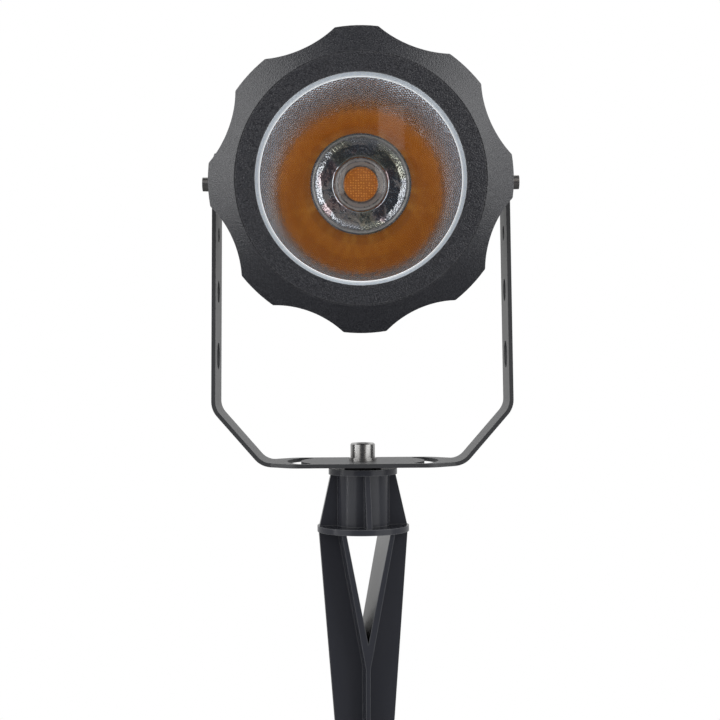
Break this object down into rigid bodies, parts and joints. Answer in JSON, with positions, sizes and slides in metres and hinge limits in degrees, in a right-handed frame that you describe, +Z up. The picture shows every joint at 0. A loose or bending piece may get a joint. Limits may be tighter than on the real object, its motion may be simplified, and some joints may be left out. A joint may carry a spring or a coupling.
{
  "type": "garden spike spotlight",
  "caption": "Round finned outdoor spotlight with a scalloped bezel and faceted reflector, tilting in a bent steel yoke that turns on a forked ground spike.",
  "frame": {"origin": "centre of the underside of the spike's disc, at the soil line", "axes": "+Z up along the spike, the light faces -Y, +X along the tilt axis"},
  "size_m": [0.1288, 0.0951, 0.4051],
  "materials": {
    "black_powder_coat": "fine textured black powder coat on die-cast aluminium",
    "black_sheet_steel": "satin black powder coat on sheet steel",
    "black_moulded_plastic": "satin moulded black plastic",
    "stainless_steel": "bright stainless steel",
    "clear_glass": "polished clear glass",
    "mirror_reflector": "vacuum-metallised, bright",
    "led_phosphor": "amber phosphor under silicone",
    "led_board": "white-faced aluminium board",
    "white_plastic": "glossy pale moulded ring",
    "silicone_rubber": "pale silicone",
    "black_rubber": "black rubber",
    "brass": "plain brass",
    "nickel_plated_brass": "nickel-plated",
    "potted_driver": "dark potting compound",
    "thermal_pad_grey": "grey thermal pad"
  },
  "bodies": {
    "spike": {"ground_spike": "black_moulded_plastic", "threaded_insert": "brass", "seat_washer": "black_rubber", "bolt_washer": "stainless_steel", "yoke_bolt": "stainless_steel"},
    "yoke": {"yoke_bracket": "black_sheet_steel"},
    "head": {"bezel": "black_powder_coat", "glass_gasket": "silicone_rubber", "front_glass": "clear_glass", "bezel_seal": "black_rubber", "reflector": "mirror_reflector", "centre_lens": "clear_glass", "led_phosphor": "led_phosphor", "led_board": "led_board", "thermal_pad": "thermal_pad_grey", "led_holder": "white_plastic", "holder_screws": "stainless_steel", "housing": "black_powder_coat", "driver_module": "potted_driver", "cover_seal": "black_rubber", "rear_cover": "black_powder_coat", "cover_screws": "stainless_steel", "gland_body": "nickel_plated_brass", "gland_lock_nut": "nickel_plated_brass", "gland_seal": "black_rubber", "gland_nut": "nickel_plated_brass", "pivot_screws": "stainless_steel", "plain_washers": "stainless_steel", "spring_washers": "stainless_steel"}
  },
  "joints": [
    {"name": "pan", "type": "hinge", "parent": "spike", "child": "yoke", "pos_m": [0, 0, 0.0278], "axis": [0, 0, 1], "continuous": true},
    {"name": "tilt", "type": "hinge", "parent": "yoke", "child": "head", "pos_m": [0, 0, 0.1417], "axis": [-1, 0, 0], "range_deg": [-15.7, 154.3]}
  ]
}
